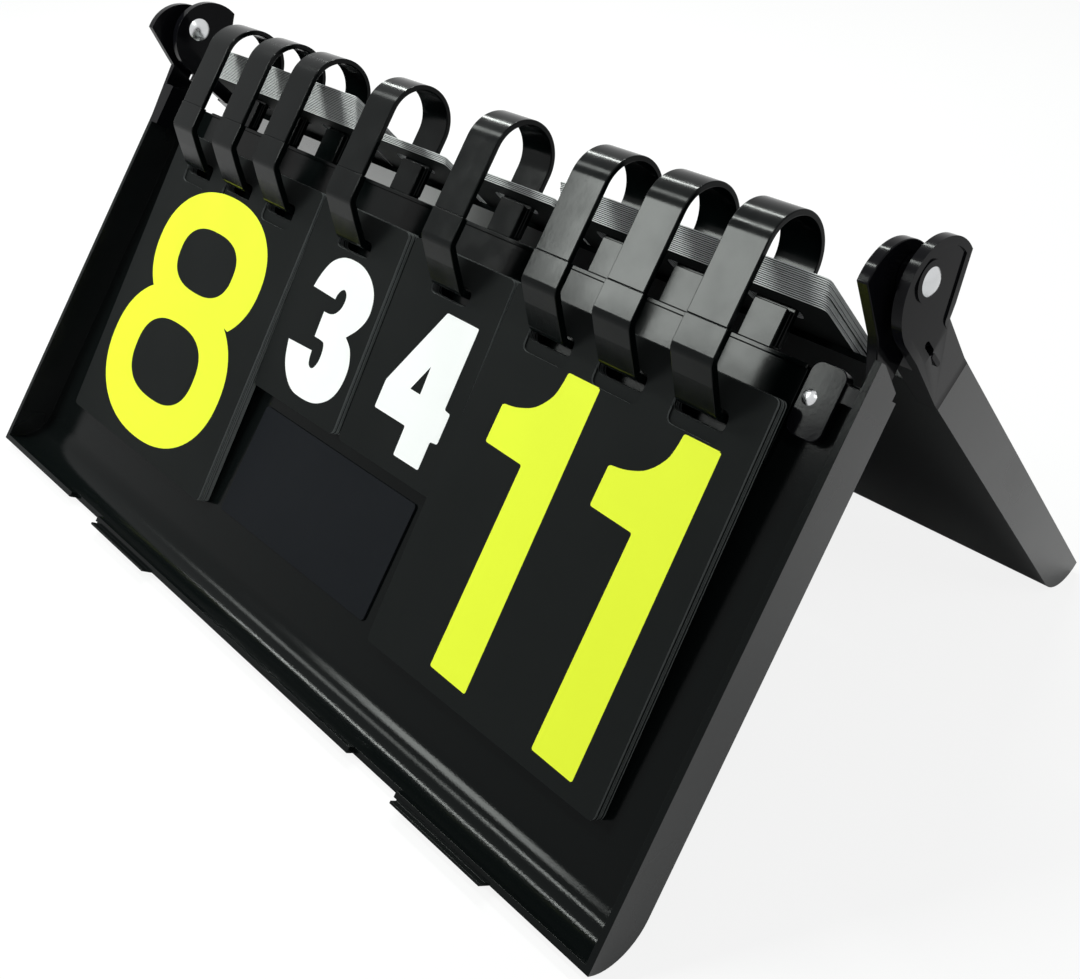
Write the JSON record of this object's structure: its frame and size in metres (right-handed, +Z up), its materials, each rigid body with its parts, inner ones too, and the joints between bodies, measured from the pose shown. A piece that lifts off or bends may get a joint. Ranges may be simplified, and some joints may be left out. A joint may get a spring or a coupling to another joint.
{
  "type": "tabletop flip scoreboard",
  "caption": "Folding tabletop flip scoreboard: two hinged black trays, ring-bound number sheets for scores and games.",
  "frame": {"origin": "middle of the footprint on the table, under the hinge line, at the level the board stands on", "axes": "+X to the right as seen from the front, -Y towards the viewer of the score side, +Z up"},
  "size_m": [0.3942, 0.2548, 0.1737],
  "materials": {
    "case_plastic": "satin",
    "arm_plastic": "polished",
    "ring_plastic": "polished",
    "sheet_vinyl": "matte",
    "plate_vinyl": "matte",
    "rivet_steel": "polished"
  },
  "bodies": {
    "root": {"front_tray": "case_plastic", "front_outer_arm": "arm_plastic", "front_inner_arm": "arm_plastic", "front_foot_rivet": "rivet_steel", "left_pivot_rivet": "rivet_steel", "right_pivot_rivet": "rivet_steel", "ring_bar": "ring_plastic", "name_plate": "plate_vinyl", "ring_hoop_1": "ring_plastic", "ring_hoop_2": "ring_plastic", "ring_hoop_3": "ring_plastic", "ring_hoop_4": "ring_plastic", "ring_hoop_5": "ring_plastic", "ring_hoop_6": "ring_plastic", "ring_hoop_7": "ring_plastic", "ring_hoop_8": "ring_plastic", "ring_hook_1": "ring_plastic", "ring_hook_2": "ring_plastic", "ring_hook_3": "ring_plastic", "ring_hook_4": "ring_plastic", "ring_hook_5": "ring_plastic", "ring_hook_6": "ring_plastic", "ring_hook_7": "ring_plastic", "ring_hook_8": "ring_plastic", "away_score_front_sheets": "sheet_vinyl", "away_games_front_sheets": "sheet_vinyl", "home_games_front_sheets": "sheet_vinyl", "home_score_front_sheets": "sheet_vinyl"},
    "rear_case": {"rear_tray": "case_plastic", "rear_outer_arm": "arm_plastic", "rear_inner_arm": "arm_plastic", "rear_foot_rivet": "rivet_steel"},
    "flipped_sheets": {"away_score_flipped_sheets": "sheet_vinyl", "away_games_flipped_sheets": "sheet_vinyl", "home_games_flipped_sheets": "sheet_vinyl", "home_score_flipped_sheets": "sheet_vinyl"},
    "away_score_card": {"away_score_top_sheet": "sheet_vinyl"},
    "away_games_card": {"away_games_top_sheet": "sheet_vinyl"},
    "home_games_card": {"home_games_top_sheet": "sheet_vinyl"},
    "home_score_card": {"home_score_top_sheet": "sheet_vinyl"}
  },
  "joints": [
    {"name": "case_fold", "type": "hinge", "parent": "root", "child": "rear_case", "pos_m": [0, 0, 0.16302], "axis": [1, 0, 0], "range_deg": [0, 283.8]},
    {"name": "flipped_sheets_return", "type": "hinge", "parent": "root", "child": "flipped_sheets", "pos_m": [0, -0.02763, 0.15687], "axis": [1, 0, 0], "range_deg": [0, 283.8], "deforming": ["away_score_flipped_sheets", "away_games_flipped_sheets", "home_games_flipped_sheets", "home_score_flipped_sheets"]},
    {"name": "away_score_flip", "type": "hinge", "parent": "root", "child": "away_score_card", "pos_m": [0, -0.0365, 0.1571], "axis": [1, 0, 0], "range_deg": [-286.54, 0], "deforming": ["away_score_top_sheet"]},
    {"name": "away_games_flip", "type": "hinge", "parent": "root", "child": "away_games_card", "pos_m": [0, -0.03121, 0.15146], "axis": [1, 0, 0], "range_deg": [-288.34, 0], "deforming": ["away_games_top_sheet"]},
    {"name": "home_games_flip", "type": "hinge", "parent": "root", "child": "home_games_card", "pos_m": [0, -0.03121, 0.15146], "axis": [1, 0, 0], "range_deg": [-288.34, 0], "deforming": ["home_games_top_sheet"]},
    {"name": "home_score_flip", "type": "hinge", "parent": "root", "child": "home_score_card", "pos_m": [0, -0.03422, 0.15481], "axis": [1, 0, 0], "range_deg": [-286.54, 0], "deforming": ["home_score_top_sheet"]}
  ],
  "couplings": [
    {"joint": "flipped_sheets_return", "follows": "case_fold", "ratio": 1}
  ]
}
